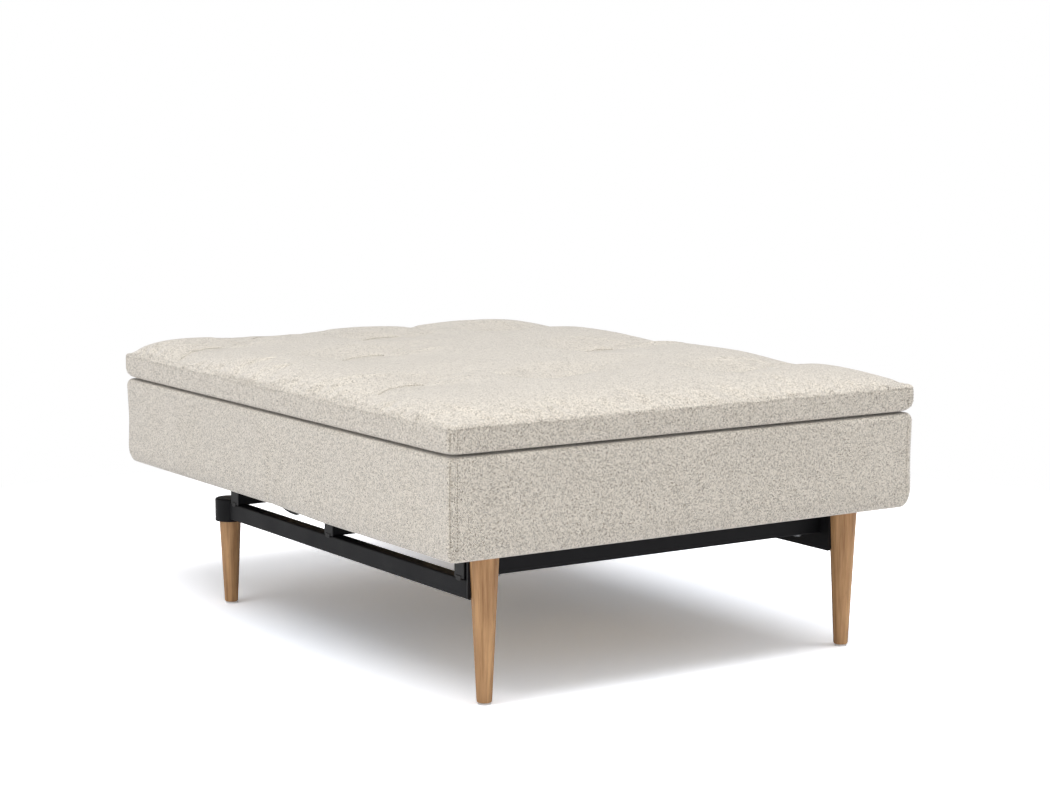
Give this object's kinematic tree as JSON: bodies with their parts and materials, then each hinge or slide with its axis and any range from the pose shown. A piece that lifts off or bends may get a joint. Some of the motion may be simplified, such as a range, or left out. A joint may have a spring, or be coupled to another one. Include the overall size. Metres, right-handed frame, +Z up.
{
  "type": "chair bed",
  "caption": "Click-clack chair bed lying flat: cloth-covered mattress box with a stitched topper on a black steel frame with tapered oak legs.",
  "frame": {"origin": "on the floor, under the middle of the bed as it lies flat", "axes": "+X to the bed's right seen from the front, +Y from the seat's front edge to the back's far end, +Z up"},
  "size_m": [0.9, 1.15, 0.4733],
  "materials": {
    "black_steel": "satin black powder coat",
    "black_plastic": "fine matt",
    "black_rubber": "matt",
    "oak": "clear satin lacquer on light oak",
    "birch": "laminated birch, satin",
    "felt": "pale pressed felt",
    "zinc": "zinc plated",
    "core_foam": "pocket springs wrapped in foam",
    "box_cloth": "coarse melange weave, matt",
    "topper_cloth": "coarse melange weave, matt"
  },
  "bodies": {
    "base": {"left_side_rail": "black_steel", "right_side_rail": "black_steel", "front_crossbar": "black_steel", "middle_crossbar": "black_steel", "rear_crossbar": "black_steel", "front_left_leg_bracket": "black_steel", "front_right_leg_bracket": "black_steel", "rear_left_leg_cup": "black_steel", "rear_right_leg_cup": "black_steel", "leg_bolts": "black_steel", "seat_left_tube": "black_steel", "seat_right_tube": "black_steel", "seat_front_tube": "black_steel", "seat_rear_tube": "black_steel", "left_hinge_plate": "black_steel", "right_hinge_plate": "black_steel", "crossbar_end_caps": "black_plastic", "seat_slat_holders": "black_plastic", "seat_mount_pads": "black_rubber", "back_stop_pads": "black_rubber", "front_left_leg": "oak", "front_right_leg": "oak", "rear_left_leg": "oak", "rear_right_leg": "oak", "seat_slats": "birch", "leg_glides": "felt", "seat_frame_bolts": "zinc", "hinge_plate_bolts": "zinc", "left_pivot_pin": "zinc", "right_pivot_pin": "zinc", "pivot_washers": "zinc", "pivot_nuts": "zinc", "pawl_pins": "zinc", "seat_core": "core_foam", "seat_mattress": "box_cloth", "seat_topper": "topper_cloth"},
    "back": {"left_back_arm": "black_steel", "right_back_arm": "black_steel", "back_arm_bolts": "zinc", "back_left_tube": "black_steel", "back_right_tube": "black_steel", "back_front_tube": "black_steel", "back_rear_tube": "black_steel", "back_slats": "birch", "back_slat_holders": "black_plastic", "back_core": "core_foam", "back_mattress": "box_cloth", "back_topper": "topper_cloth"},
    "left_pawl": {"left_pawl": "zinc"},
    "right_pawl": {"right_pawl": "zinc"}
  },
  "joints": [
    {"name": "back_recline", "type": "hinge", "parent": "base", "child": "back", "pos_m": [0, 0.14, 0.37], "axis": [1, 0, 0], "range_deg": [0, 70]},
    {"name": "left_pawl_swing", "type": "hinge", "parent": "base", "child": "left_pawl", "pos_m": [-0.3635, 0.128, 0.279], "axis": [-1, 0, 0], "range_deg": [0, 14]},
    {"name": "right_pawl_swing", "type": "hinge", "parent": "base", "child": "right_pawl", "pos_m": [0.3635, 0.128, 0.279], "axis": [-1, 0, 0], "range_deg": [0, 14]}
  ]
}
